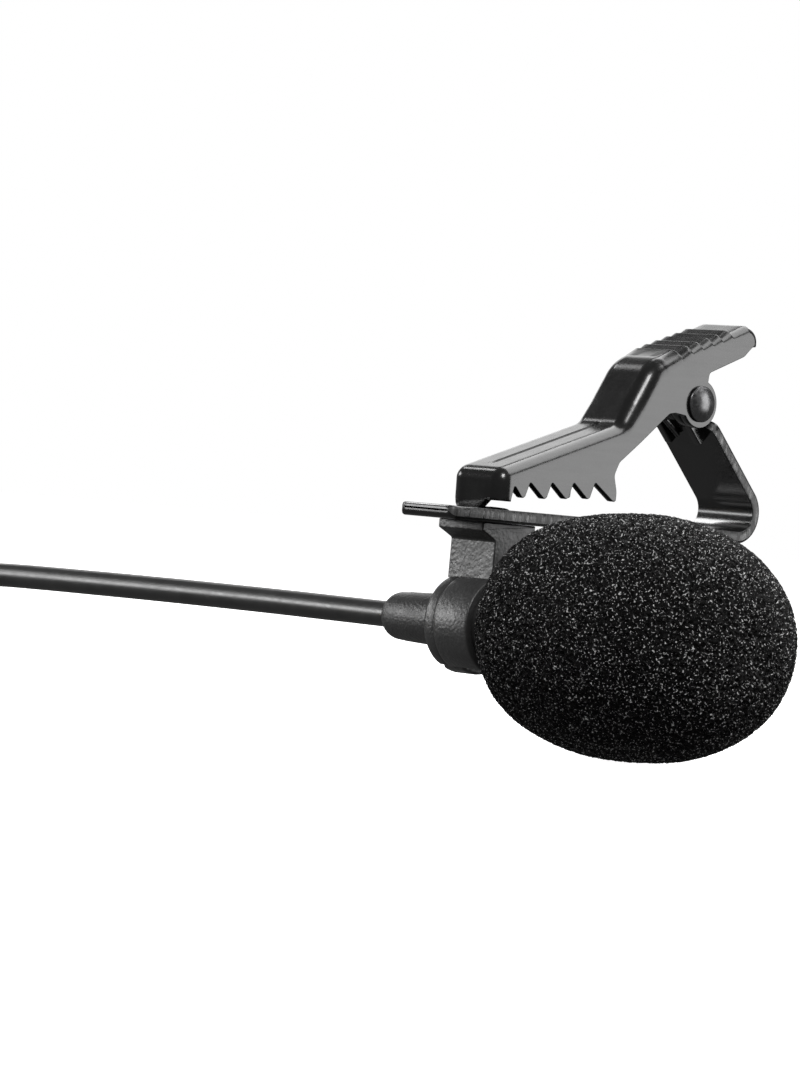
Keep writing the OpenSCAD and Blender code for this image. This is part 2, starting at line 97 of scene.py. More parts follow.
# ---------------------------------------------------------------- materials
class Nodes:
    """A new material and short ways to add nodes to it. Patterns use object coordinates."""

    def __init__(self, name, color, roughness, metallic=0.0, specular=0.5):
        self.material = bpy.data.materials.new(name)
        self.material.use_nodes = True
        self.tree = self.material.node_tree
        self.shader = self.tree.nodes["Principled BSDF"]
        self.shader.inputs["Base Color"].default_value = (*color, 1)
        self.shader.inputs["Roughness"].default_value = roughness
        self.shader.inputs["Metallic"].default_value = metallic
        self.shader.inputs["Specular IOR Level"].default_value = specular
        self.coords = self.tree.nodes.new("ShaderNodeTexCoord").outputs["Object"]

    def link(self, a, b):
        self.tree.links.new(a, b)

    def stretched(self, x, y, z):
        mapping = self.tree.nodes.new("ShaderNodeMapping")
        mapping.inputs["Scale"].default_value = (x, y, z)
        self.link(self.coords, mapping.inputs["Vector"])
        return mapping.outputs["Vector"]

    def noise(self, scale, detail=3.0, rough=0.55, coords=None):
        n = self.tree.nodes.new("ShaderNodeTexNoise")
        n.inputs["Scale"].default_value = scale
        n.inputs["Detail"].default_value = detail
        n.inputs["Roughness"].default_value = rough
        self.link(coords or self.coords, n.inputs["Vector"])
        return n.outputs["Fac"]

    def cells(self, scale, feature):
        n = self.tree.nodes.new("ShaderNodeTexVoronoi")
        n.feature = feature
        n.inputs["Scale"].default_value = scale
        self.link(self.coords, n.inputs["Vector"])
        return n.outputs["Distance"]

    def mapped(self, value, low, high, to_low, to_high):
        n = self.tree.nodes.new("ShaderNodeMapRange")
        for key, v in (("From Min", low), ("From Max", high),
                       ("To Min", to_low), ("To Max", to_high)):
            n.inputs[key].default_value = v
        self.link(value, n.inputs["Value"])
        return n.outputs["Result"]

    def ramp(self, value, *stops):
        n = self.tree.nodes.new("ShaderNodeValToRGB")
        e = n.color_ramp.elements
        while len(e) < len(stops):
            e.new(0.5)
        for k, (at, grey) in enumerate(stops):
            e[k].position = at
            e[k].color = (*([grey] * 3 if isinstance(grey, (int, float)) else grey), 1)
        self.link(value, n.inputs["Fac"])
        return n.outputs["Color"]

    def math(self, kind, a, b):
        n = self.tree.nodes.new("ShaderNodeMath")
        n.operation = kind
        for k, v in enumerate((a, b)):
            if isinstance(v, (int, float)):
                n.inputs[k].default_value = v
            else:
                self.link(v, n.inputs[k])
        return n.outputs[0]

    def bump(self, height, strength, distance):
        n = self.tree.nodes.new("ShaderNodeBump")
        n.inputs["Strength"].default_value = strength
        n.inputs["Distance"].default_value = distance
        last = self.shader.inputs["Normal"]
        if last.is_linked:
            self.link(last.links[0].from_socket, n.inputs["Normal"])
        self.link(height, n.inputs["Height"])
        self.link(n.outputs["Normal"], last)

    def color(self, value):
        self.link(value, self.shader.inputs["Base Color"])

    def rough(self, value):
        self.link(value, self.shader.inputs["Roughness"])


def foam_material():
    """A web of thin strands over dark pores; short stretches of strand are painted near-white as
    glints.
    """
    m = Nodes("foam", (0.003, 0.003, 0.003), 0.5, specular=0.12)
    web = m.mapped(m.cells(2800, feature="DISTANCE_TO_EDGE"), 0.03, 0.14, 1.0, 0.0)
    # Painted glints: noise patches pick short stretches of strand, and these get a near-white colour
    turned = m.mapped(m.noise(5600, 1.0, 0.5), 0.57, 0.63, 0.0, 1.0)
    painted_glints = m.math("MULTIPLY", web, turned)
    m.color(m.ramp(painted_glints, (0.0, 0.0025), (0.25, 0.012), (0.9, 0.8)))
    m.bump(web, 1.0, 0.00012)
    m.bump(m.noise(3000, 2.0), 1.0, 0.00025)
    return m.material


def moulded_material(name, grey, rough, grain):
    m = Nodes(name, (grey, grey, grey * 1.03), rough)
    skin = m.cells(grain, feature="SMOOTH_F1")
    m.color(m.ramp(m.noise(380, 4.0), (0.3, grey * 0.8), (0.7, grey * 1.25)))
    m.rough(m.mapped(m.noise(900, 3.0), 0.3, 0.7, rough - 0.06, rough + 0.08))
    m.bump(skin, 0.5, 0.00006)
    m.bump(m.noise(grain * 0.9, 4.0), 0.6, 0.00006)
    return m.material


def cable_material():
    m = Nodes("cable_cover", (0.018, 0.018, 0.019), 0.34)
    m.color(m.ramp(m.noise(500, 3.0), (0.3, 0.013), (0.7, 0.022)))
    m.rough(m.mapped(m.noise(1500, 2.0), 0.3, 0.7, 0.30, 0.40))
    m.bump(m.noise(2600, 2.0), 0.15, 0.00003)
    return m.material


def plated_material():
    """Smooth black finish on pressed sheet, with faint drawing lines along the clip."""
    m = Nodes("black_metal", (0.006, 0.006, 0.0062), 0.2, specular=0.62)
    lines = m.noise(1.0, 3.0, coords=m.stretched(4200, 160, 4200))
    blotch = m.noise(520, 4.0)
    m.color(m.ramp(blotch, (0.35, 0.004), (0.65, 0.009)))
    mixed = m.math("ADD", m.math("MULTIPLY", lines, 0.6), m.math("MULTIPLY", blotch, 0.4))
    m.rough(m.mapped(mixed, 0.35, 0.65, 0.17, 0.26))
    m.bump(lines, 0.12, 0.00002)
    m.bump(m.noise(1100, 2.0), 0.12, 0.00003)
    return m.material


def sheared_material():
    """The cut edge of the strip, with fine lines across it."""
    m = Nodes("sheared_edge", (0.02, 0.02, 0.02), 0.34, specular=0.6)
    cuts = m.noise(1.0, 3.0, coords=m.stretched(260, 3000, 400))
    m.color(m.ramp(cuts, (0.38, 0.003), (0.65, 0.06)))
    m.rough(m.mapped(cuts, 0.35, 0.65, 0.24, 0.55))
    m.bump(cuts, 1.0, 0.00009)
    return m.material


WEAR_SCALE = 1500


def shades(color, darker, lighter):
    """The colour a little darker, and a little lighter."""
    return tuple(c * darker for c in color), tuple(min(1, c * lighter) for c in color)


def plain_metal(name, color, rough):
    m = Nodes(name, color, rough, metallic=1.0)
    wear = m.noise(WEAR_SCALE, 4.0)
    dark, light = shades(color, 0.85, 1.1)
    m.color(m.ramp(wear, (0.3, dark), (0.7, light)))
    m.rough(m.mapped(m.noise(WEAR_SCALE * 2, 3.0), 0.3, 0.7, rough * 0.8, rough * 1.3))
    m.bump(wear, 0.1, 0.00002)
    return m.material


def plain_cover(name, color, rough):
    m = Nodes(name, color, rough)
    spots = m.noise(WEAR_SCALE, 4.0)
    dark, light = shades(color, 0.8, 1.15)
    m.color(m.ramp(spots, (0.3, dark), (0.7, light)))
    m.rough(m.mapped(m.noise(WEAR_SCALE * 2, 3.0), 0.3, 0.7, rough * 0.85, min(1.0, rough * 1.15)))
    m.bump(spots, 0.2, 0.00004)
    return m.material


def woven_material(name, grey, scale):
    m = Nodes(name, (grey, grey, grey), 0.8)
    wave = m.tree.nodes.new("ShaderNodeTexWave")
    wave.inputs["Scale"].default_value = scale
    wave.inputs["Distortion"].default_value = 1.5
    m.link(m.coords, wave.inputs["Vector"])
    m.color(m.ramp(wave.outputs["Fac"], (0.2, grey * 0.5), (0.8, grey * 1.6)))
    m.bump(wave.outputs["Fac"], 0.6, 0.0001)
    m.bump(m.noise(3000, 3.0), 0.5, 0.00006)
    return m.material


MATERIAL = {
    "foam": foam_material(),
    "black_plastic": moulded_material("black_plastic", 0.028, 0.40, 3600),
    "cable_cover": cable_material(),
    "relief_cover": moulded_material("relief_cover", 0.024, 0.44, 4200),
    "black_metal": plated_material(),
    "sheared_edge": sheared_material(),
}
for kind, looks in (
    (plain_metal, (
        ("pin_steel", (0.13, 0.13, 0.132), 0.28),
        ("bare_metal", (0.72, 0.72, 0.74), 0.3),
        ("contact_metal", (0.83, 0.62, 0.27), 0.16),
    )),
    (plain_cover, (
        ("film", (0.8, 0.78, 0.66), 0.25),
        ("insulating_plastic", (0.9, 0.9, 0.87), 0.45),
        ("insulating_black", (0.012, 0.012, 0.012), 0.25),
        ("board", (0.05, 0.25, 0.1), 0.35),
        ("wire_cover", (0.5, 0.06, 0.05), 0.35),
        ("soft_rubber", (0.03, 0.03, 0.03), 0.6),
    )),
    (woven_material, (("cloth", 0.05, 1500), ("tie_strap", 0.035, 900))),
):
    for name, *look in looks:
        MATERIAL[name] = kind(name, *look)


# ---------------------------------------------------------------- mesh helpers
POLE = 1e-6  # a smaller radius is a point on the axis


class Shell:
    """Points and faces gathered in millimetres, to become one mesh."""

    def __init__(self):
        self.points, self.faces, self.paint = [], [], []

    def add(self, points, faces):
        first = len(self.points)
        self.points += [tuple(p) for p in points]
        self.faces += [[k + first for k in f] for f in faces]
        self.paint += [0] * len(faces)

    def loft(self, rows, caps=True):
        """Joins closed rows of equally many points, with a cap on the first and the last."""
        n = len(rows[0])
        faces = []
        for i in range(len(rows) - 1):
            for k in range(n):
                a, b = i * n + k, i * n + (k + 1) % n
                faces.append([a, b, b + n, a + n])
        if caps:
            faces.append(list(range(n))[::-1])
            faces.append([(len(rows) - 1) * n + k for k in range(n)])
        self.add([p for row in rows for p in row], faces)

    def revolve(self, profile, centre=(0, 0, 0), sides=72):
        """A solid of revolution about X, from (x, radius) points. A radius of 0 makes a pole."""
        c = np.asarray(centre, float)
        angle = np.linspace(0, 2 * math.pi, sides, endpoint=False)
        rows = [c + np.column_stack([np.full(sides, x), r * np.cos(angle), r * np.sin(angle)])
                for x, r in profile if r > POLE]
        points = [p for row in rows for p in row]
        faces = []
        for i in range(len(rows) - 1):
            for k in range(sides):
                a, b = i * sides + k, i * sides + (k + 1) % sides
                faces.append([a, b, b + sides, a + sides])
        for pole, row in ((profile[0], 0), (profile[-1], len(rows) - 1)):
            if pole[1] <= POLE:
                points.append(c + np.array([pole[0], 0, 0]))
                for k in range(sides):
                    faces.append([len(points) - 1, row * sides + k, row * sides + (k + 1) % sides])
        if profile[0][1] > POLE and profile[-1][1] > POLE:
            last = (len(rows) - 1) * sides
            for k in range(sides):
                faces.append([last + k, last + (k + 1) % sides, (k + 1) % sides, k])
        self.add(points, faces)

    def piece(self, name, body, slot, replaces, materials=None, sharp=48, weighted=True,
              row_frame=False):
        points = np.asarray(self.points) * MM if row_frame else placed(self.points)
        mesh = bpy.data.meshes.new(name)
        mesh.from_pydata([tuple(p) for p in points], [], self.faces)
        for face, paint in zip(mesh.polygons, self.paint):
            face.material_index = paint
        work = bmesh.new()
        work.from_mesh(mesh)
        bmesh.ops.recalc_face_normals(work, faces=work.faces)
        work.to_mesh(mesh)
        work.free()
        mesh.polygons.foreach_set("use_smooth", [True] * len(mesh.polygons))
        mesh.set_sharp_from_angle(angle=math.radians(sharp))
        o = linked(name, mesh)
        for m in materials or [slot]:
            mesh.materials.append(MATERIAL[m])
        if weighted:
            modifier = o.modifiers.new("normals", "WEIGHTED_NORMAL")
            modifier.keep_sharp = True
        if body:
            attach(o, body)
        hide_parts(replaces)
        return o


def unit(v):
    return v / np.linalg.norm(v)


def rounded(corners, closed=True, step=0.07):
    """Corners are (y, z, radius). Each corner becomes an arc of that radius."""
    out, n = [], len(corners)
    for i, (y, z, r) in enumerate(corners):
        p = np.array([y, z], float)
        if r <= 0 or (not closed and i in (0, n - 1)):
            out.append(p)
            continue
        a = np.array(corners[i - 1][:2], float) - p
        b = np.array(corners[(i + 1) % n][:2], float) - p
        la, lb = np.linalg.norm(a), np.linalg.norm(b)
        a, b = a / la, b / lb
        half = math.acos(max(-1, min(1, float(a @ b)))) / 2
        # Two corners share a side, but an open line's end leaves all of it to the one
        room_a = 0.97 if not closed and i == 1 else 0.48
        room_b = 0.97 if not closed and i == n - 2 else 0.48
        back = min(r / math.tan(half), room_a * la, room_b * lb)
        r = back * math.tan(half)
        c = p + unit(a + b) * (r / math.sin(half))
        s = p + a * back - c
        sweep = math.pi - 2 * half
        e = p + b * back - c
        side = 1 if s[0] * e[1] - s[1] * e[0] > 0 else -1
        steps = max(2, int(sweep * r / step))
        for k in range(steps + 1):
            t = side * sweep * k / steps
            out.append(c + np.array([s[0] * math.cos(t) - s[1] * math.sin(t),
                                     s[0] * math.sin(t) + s[1] * math.cos(t)]))
    return np.array(out)


def dense(points, step, closed=False):
    """The same line with no two points further apart than step."""
    ends = list(points) + ([points[0]] if closed else [])
    out = []
    for a, b in zip(ends[:-1], ends[1:]):
        n = max(1, int(math.ceil(np.linalg.norm(b - a) / step)))
        out += [a + (b - a) * k / n for k in range(n)]
    if not closed:
        out.append(ends[-1])
    return np.array(out)


def tangents(points, closed=False):
    p = np.asarray(points)
    if closed:
        t = np.roll(p, -1, 0) - np.roll(p, 1, 0)
    else:
        t = np.gradient(p, axis=0)
    return t / np.maximum(np.linalg.norm(t, axis=1), 1e-12)[:, None]


def inward(outline):
    """Unit normals of a closed (y, z) outline that point into it."""
    p = np.asarray(outline)
    q = np.roll(p, -1, 0)
    area = (p[:, 0] * q[:, 1] - q[:, 0] * p[:, 1]).sum()
    t = tangents(p, True)
    n = np.stack([-t[:, 1], t[:, 0]], 1)
    return n if area > 0 else -n


def arc(centre, r, a0, a1, n):
    """n + 1 points from angle a0 to a1, in degrees."""
    angles = [math.radians(a0 + (a1 - a0) * k / n) for k in range(n + 1)]
    return [(centre[0] + r * math.cos(a), centre[1] + r * math.sin(a)) for a in angles]


def corner_fall(s, r):
    """How far a corner of radius r stands back at s from its end."""
    d = r - min(s, r)
    return r - math.sqrt(max(0.0, r * r - d * d))


def rounded_plate(shell, outline, x0, x1, r, steps=3):
    """An outline in (y, z) given a width along X, with edges of radius r."""
    n = inward(outline)
    rows = []
    for k in range(steps + 1):
        a = math.pi / 2 * k / steps
        rows.append((x0 + r * (1 - math.cos(a)), r * (1 - math.sin(a))))
    rows += [(x0 + x1 - x, d) for x, d in rows[::-1]]
    loops = []
    for x, d in rows:
        p = outline + n * d
        loops.append(np.column_stack([np.full(len(p), x), p]))
    shell.loft(loops)


# ---------------------------------------------------------------- cable, coil, tie and plug
CABLE_D = 0.0023
RUN = [
    (-20.5, -10.4, 9.65), (-28.5, -10.4, 9.65), (-35, -10.4, 9.65), (-42, -10.4, 9.62),
    (-48.5, -10.4, 9.58), (-55, -10.4, 9.52), (-61.5, -10.4, 9.44), (-68, -10.4, 9.35),
    (-74.5, -10.4, 9.2), (-80.5, -10.4, 8.8), (-86, -10.4, 7.8), (-91, -10.4, 6.1),
    (-96, -10.4, 4.1), (-101, -10.4, 2.3), (-106, -10.4, 1.35), (-112, -10.4, 1.2),
]
TAIL = [
    (-112, -41.8, 8.2), (-108, -41.8, 8.1), (-104, -41.7, 7.7), (-100, -41.4, 6.8),
    (-96, -41, 5.7), (-92, -40.6, 4.7), (-88, -40.2, 3.9), (-84, -40, 3.6), (-80, -40, 3.6),
]
COIL_AT = np.array([RUN[-1][0], (RUN[-1][1] + TAIL[0][1]) / 2])
COIL_R = 13.3
COIL_PITCH = 2.4
LAYER_PITCH = 2.35
# Turns of the coil: (turns so far, column counted inwards, layer). Between two entries the cable
# keeps its place, then changes it over the last stretch, so that the turns never cross in a layer.
CHANGE = 0.12
WINDING = [
    (1.00, 1, 0), (2.00, 2, 0), (2.88, 2, 1), (3.76, 1, 1), (4.76, 0, 1), (5.64, 0, 2),
    (6.52, 1, 2), (7.52, 2, 2), (8.40, 2, 3), (9.28, 1, 3), (10.28, 0, 3),
]
COIL_TURNS = 10.5
POINTS_PER_TURN = 48
# Under the tie the layers press together: lift of the lowest turn, half length of the place along
# the coil, and height that stays where it is
SQUEEZE, SQUEEZE_REACH, SQUEEZE_TOP = 0.34, 8.5, 9.4


def coil_line():
    out = []
    steps = int(COIL_TURNS * POINTS_PER_TURN)
    for k in range(1, steps):
        t = COIL_TURNS * k / steps
        column, layer = 0.0, 0.0
        for end, to_column, to_layer in WINDING:
            s = min(1.0, max(0.0, (t - end + CHANGE) / CHANGE))
            s = s * s * (3 - 2 * s)
            column += (to_column - column) * s
            layer += (to_layer - layer) * s
        angle = math.pi / 2 + 2 * math.pi * t
        r = COIL_R + COIL_PITCH * (1 - column)
        z = CABLE_D / MM / 2 + 0.05 + LAYER_PITCH * layer
        away = abs(angle % (2 * math.pi) - math.pi) * COIL_R
        squeeze = SQUEEZE * max(0.0, 1 - (away / SQUEEZE_REACH) ** 2) ** 2
        z += squeeze * (1 - z / SQUEEZE_TOP)
        out.append((COIL_AT[0] + r * math.cos(angle), COIL_AT[1] + r * math.sin(angle), z))
    return out


def smooth_line(points, step):
    """Catmull-Rom line through the points, about step apart."""
    p = np.asarray(points, float)
    p = np.vstack([2 * p[0] - p[1], p, 2 * p[-1] - p[-2]])
    out = []
    for i in range(1, len(p) - 2):
        a, b, c, d = p[i - 1:i + 3]
        n = max(1, int(np.linalg.norm(c - b) / step))
        for k in range(n):
            t = k / n
            out.append(0.5 * (2 * b + (c - a) * t + (2 * a - 5 * b + 4 * c - d) * t * t
                              + (3 * b - a - 3 * c + d) * t ** 3))
    out.append(p[-2])
    return np.array(out)


cable_points = smooth_line(RUN + coil_line() + TAIL, 1.2) * MM

curve = bpy.data.curves.new("cable", "CURVE")
curve.dimensions = "3D"
curve.bevel_depth = CABLE_D / 2
curve.bevel_resolution = 5
curve.use_fill_caps = True
spline = curve.splines.new("POLY")
spline.points.add(len(cable_points) - 1)
for point, at in zip(spline.points, cable_points):
    point.co = (*at, 1)
spline.use_smooth = True
cable = linked("cable", curve)
curve.materials.append(MATERIAL["cable_cover"])
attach(cable, "mic")
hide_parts("cable_run", "cable_coil", "cable_tail")


def make_tie():
    """A strap round the turns, with its loose end lying over it."""
    low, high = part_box("coil_tie")
    w = (high.x - low.x) / MM / 2
    top = high.z / MM
    x = (low.x + high.x) / 2 / MM
    y = (low.y + high.y) / 2 / MM
    half = (high.y - low.y) / 2 / MM
    t, bevel = 0.34, 0.12
    section = [(-half, t / 2), (-half + bevel, 0), (half - bevel, 0),
               (half, t / 2), (half - bevel, t), (-half + bevel, t)]
    side, lid = w - 0.2, top - 0.5
    shell = Shell()
    band = [(-side, 0.0, 1.2), (side, 0.0, 1.2), (side, lid, 1.6), (-side, lid, 1.6)]
    path = dense(rounded(band), 0.4, True)
    rows = [[(x + p[0] + m[0] * d, y + s, p[1] + m[1] * d) for s, d in section]
            for p, m in zip(path, inward(path))]
    shell.loft(rows + [rows[0]], caps=False)
    flap = [(-w + 1.6, top - 0.48, 0), (w - 1.4, top - 0.44, 0.5), (w - 0.9, top - 0.3, 0)]
    path = dense(rounded(flap, closed=False), 0.4)
    shell.loft([[(x + p[0] - q[1] * d, y + s * 0.96, p[1] + q[0] * d) for s, d in section]
                for p, q in zip(path, tangents(path))])
    return shell.piece("cable_tie", "mic", "tie_strap", "coil_tie", row_frame=True)


def make_plug():
    low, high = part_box("plug_grip")
    at = (0, (low.y + high.y) / 2 / MM, (low.z + high.z) / 2 / MM)
    x0, x1 = low.x / MM, high.x / MM
    grip_r, contact_r, core_r, edge = (high.z - low.z) / 2 / MM - 0.02, 1.75, 0.91, 0.07
    pieces = []

    def turned(name, slot, node, profile, sharp=60):
        shell = Shell()
        shell.revolve(profile, at)
        pieces.append(shell.piece(name, "mic", slot, node, row_frame=True, sharp=sharp))

    profile = [(x0, 0), (x0, 1.16), (x0, 1.42)] + arc((x0 + 0.25, 1.25), 0.25, 180, 90, 3)
    for k in range(5):  # bending ribs, wider towards the grip
        a = x0 + 0.9 + k * 1.25
        rr = 1.62 + 0.14 * k
        profile += [(a, rr - 0.02), (a + 0.12, rr + 0.06), (a + 0.62, rr + 0.08), (a + 0.74, rr)]
        profile += [(a + 0.78, rr - 0.3), (a + 1.13, rr - 0.27), (a + 1.17, rr)]
    profile += arc((x0 + 9.4, grip_r - 1.6), 1.6, 165, 90, 6)
    for k in range(9):  # finger grooves
        a = x0 + 10.2 + k * 0.72
        profile += [(a + d, grip_r - depth) for d, depth in
                    ((0, 0), (0.1, 0.16), (0.3, 0.2), (0.5, 0.16), (0.6, 0))]
    profile += arc((x1 - 0.6, grip_r - 0.6), 0.6, 90, 0, 5) + [(x1, 0.92), (x1 - 5, 0.92), (x1 - 5, 0)]
    turned("plug_body", "black_plastic", "plug_grip", profile, sharp=40)

    for node in ("plug_sleeve", "plug_ring_inner", "plug_ring_outer"):
        low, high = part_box(node)
        a, b = low.x / MM, high.x / MM
        if node == "plug_sleeve":
            profile = [(a, 2.52), (a + 0.08, 2.6), (a + 0.42, 2.6), (a + 0.5, 2.52),
                       (a + 0.5, contact_r)]
        else:
            profile = [(a, contact_r - edge), (a + edge, contact_r)]
        profile = [(a, core_r)] + profile + [(b - edge, contact_r), (b, contact_r - edge), (b, core_r)]
        turned(node + "_contact", "contact_metal", node, profile)

    low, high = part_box("plug_insulators")
    count, band, band_r, gap = 3, 0.6, 1.72, 0.005
    pitch = ((high.x - low.x) / MM - band) / (count - 1)
    shell = Shell()
    for k in range(count):
        a = low.x / MM + k * pitch
        b = a + band
        shell.revolve([(a + gap, core_r), (a + gap, band_r), (b - gap, band_r), (b - gap, core_r)], at)
    pieces.append(shell.piece("plug_insulation", "mic", "insulating_black", "plug_insulators",
                              row_frame=True))

    low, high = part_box("plug_tip")
    tip = high.x / MM
    base = tip - 4.4
    waisted = [(0, 0.9), (0, 1.68), (0.07, 1.75), (0.4, 1.75), (0.75, 1.62), (1.1, 1.32), (1.35, 1.25),
               (1.6, 1.32), (1.95, 1.58), (2.2, 1.68), (2.5, 1.68), (2.9, 1.5), (3.3, 1.2), (3.7, 0.88),
               (4.1, 0.55), (4.3, 0.3)]
    profile = [(low.x / MM, 0), (low.x / MM, 0.9)] + [(base + d, r) for d, r in waisted] + [(tip, 0)]
    turned("plug_point", "contact_metal", "plug_tip", profile)
    return pieces


tie = make_tie()
plug_pieces = make_plug()


# ---------------------------------------------------------------- foam windscreen
FOAM_CELL = 0.5  # mean distance of the cells
FOAM_DEPTH = 0.26  # of a cell below the strands
FOAM_STRAND = 0.42  # share of a cell that the strand's slope takes
FOAM_GRAIN, FOAM_GRAIN_SCALE = 0.05, 2.3  # roughness within a cell
FOAM_SAG, FOAM_SAG_SIZE = 0.12, 6.0  # unevenness of the whole
FOAM_INSET = 0.02  # the whole surface is set in by this


def foam_outline(x0, x1, radius, mouth):
    """Half of the lengthwise section, from the mouth round the blunt rear end to the front."""
    mid = x0 + 12.5  # where the foam is widest
    rear, front = mid - x0 + 0.3, x1 - mid

    def outside(a, half, power):
        return mid + half * math.cos(a), radius * math.sin(a) ** power

    first = math.acos(-(mid - x0) / rear)
    line = [(x0 + 0.35, mouth), (x0 + 0.05, mouth + 0.35)]
    line += [outside(first + (math.pi / 2 - first) * (k / 60), rear, 0.42) for k in range(60)]
    line += [outside(math.pi / 2 * (1 - k / 120), front, 0.74) for k in range(120)] + [(x1, 0.0)]
    return np.array(line)


def foam_height(p):
    """How far the surface stands off the plain shape: a strand, or down in a cell."""
    v = Vector(p / FOAM_CELL)
    near = noise.voronoi(v)[0]
    wall = min(1.0, (near[1] - near[0]) / FOAM_STRAND)
    sag = FOAM_SAG * noise.noise(Vector(p / FOAM_SAG_SIZE))
    return -FOAM_DEPTH * wall + FOAM_GRAIN * noise.noise(v * FOAM_GRAIN_SCALE) + sag - FOAM_INSET


def make_foam():
    low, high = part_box("windscreen_foam")
    x0, x1 = (low.x - AXIS.x) / MM + 0.6, (high.x - AXIS.x) / MM + 0.1
    radius = (high.z - low.z) / 2 / MM + 0.3
    rise = ((high.z + low.z) / 2 - AXIS.z) / MM
    bore_r, bore_end, mouth = 3.55, 12.9, 4.15
    line = foam_outline(x0, x1, radius, mouth)
    gaps = np.r_[0, np.cumsum(np.linalg.norm(np.diff(line, axis=0), axis=1))]
    spacing = 0.145
    count = int(gaps[-1] / spacing)
    at = np.linspace(0, gaps[-1] - 0.12, count)
    outer = np.column_stack([np.interp(at, gaps, line[:, 0]), np.interp(at, gaps, line[:, 1])])
    sides = int(2 * math.pi * radius / spacing)
    angle = np.linspace(0, 2 * math.pi, sides, endpoint=False)
    cos, sin = np.cos(angle), np.sin(angle)
    points, normals = [], []
    for (x, r), (tx, tr) in zip(outer, tangents(outer)):
        points.append(np.column_stack([np.full(sides, x), r * cos, r * sin]))
        normals.append(np.column_stack([np.full(sides, -tr), tx * cos, tx * sin]))
    points, normals = np.vstack(points), np.vstack(normals)
    points = points + normals * np.array([foam_height(p) for p in points])[:, None]
    points[:, 2] += rise
    faces = []
    for i in range(count - 1):
        a = i * sides + np.arange(sides)
        b = i * sides + (np.arange(sides) + 1) % sides
        faces += np.column_stack([a, b, b + sides, a + sides]).tolist()
    points = list(points)
    last = (count - 1) * sides
    points.append((x1 - 0.03, 0, rise))
    faces += [[last + k, last + (k + 1) % sides, len(points) - 1] for k in range(sides)]
    prior = 0
    for x in (x0 + 0.6, x0 + 2.5, x0 + 5, bore_end):
        start = len(points)
        points += [(x, bore_r * math.cos(a), bore_r * math.sin(a)) for a in angle]
        faces += [[prior + k, start + k, start + (k + 1) % sides, prior + (k + 1) % sides]
                  for k in range(sides)]
        prior = start
    points.append((bore_end, 0, 0))
    faces += [[prior + (k + 1) % sides, prior + k, len(points) - 1] for k in range(sides)]
    shell = Shell()
    shell.add(points, faces)
    o = shell.piece("foam_windscreen", "windscreen", "foam", "windscreen_foam",
                    sharp=180, weighted=False)


make_foam()


# ---------------------------------------------------------------- toothed jaw
PIN = (21.85, 20.7)
JAW_HALF = 3.08
JAW_T = 0.7
TOOTH_PITCH = 2.66


def ridge_heights(path):
    """Thumb serrations: each rises towards the handle's end and drops after its crest."""
    crests = [17.35, 18.75, 20.1, 21.4, 22.7, 23.9, 25.2, 27.5]
    height = np.zeros(len(path))
    for begin, crest in zip(crests[:-1], crests[1:]):
        top = 0.16 if crest == crests[-1] else 0.3
        on = (path[:, 0] > begin + 0.1) & (path[:, 0] < crest + 0.25) & (path[:, 1] > 23)
        y = path[on, 0]
        rise = np.clip((y - begin - 0.1) / (crest - begin - 0.1), 0, 1) * top
        fall = np.clip(1 - (y - crest) / 0.18, 0, 1)
        height[on] = np.maximum(height[on], rise * fall * fall * (3 - 2 * fall))
    return height


def jaw_underside(edge_z):
    """Corners of the side walls' lower edge, from the handle's end to the nose."""
    teeth = []
    for k in range(4, -1, -1):
        y, z = 0.6 + k * TOOTH_PITCH, 11.0 + 0.165 * k
        if k == 4:  # the rearmost tooth has a blunt tip
            teeth += [(y + 0.9, z - 0.26, 0.3), (y + 0.4, z - 0.2, 0.3)]
        else:
            teeth += [(y + 0.76, z + 1.4, 0.1), (y + 0.16, z - 0.26, 0.36)]
    handle = [(27.9, 26.05, 0.4), (27.1, 25.3, 0.8), (22.75, 23.5, 0.4)]
    ear = [(*p, 0) for p in arc(PIN, 2.15, 68, -146, 30)]
    throat = [(18.75, 19.62, 0.5), (18.0, 19.5, 0.6), (14.65, 16.75, 2),
              (12.2, 14.85, 0.9), (11.68, 13.7, 0.8), (12.15, 12.3, 2)]
    return handle + ear + throat + teeth + [(-0.5, 12.0, 0.1), (-0.78, edge_z + 0.08, 0.16)]


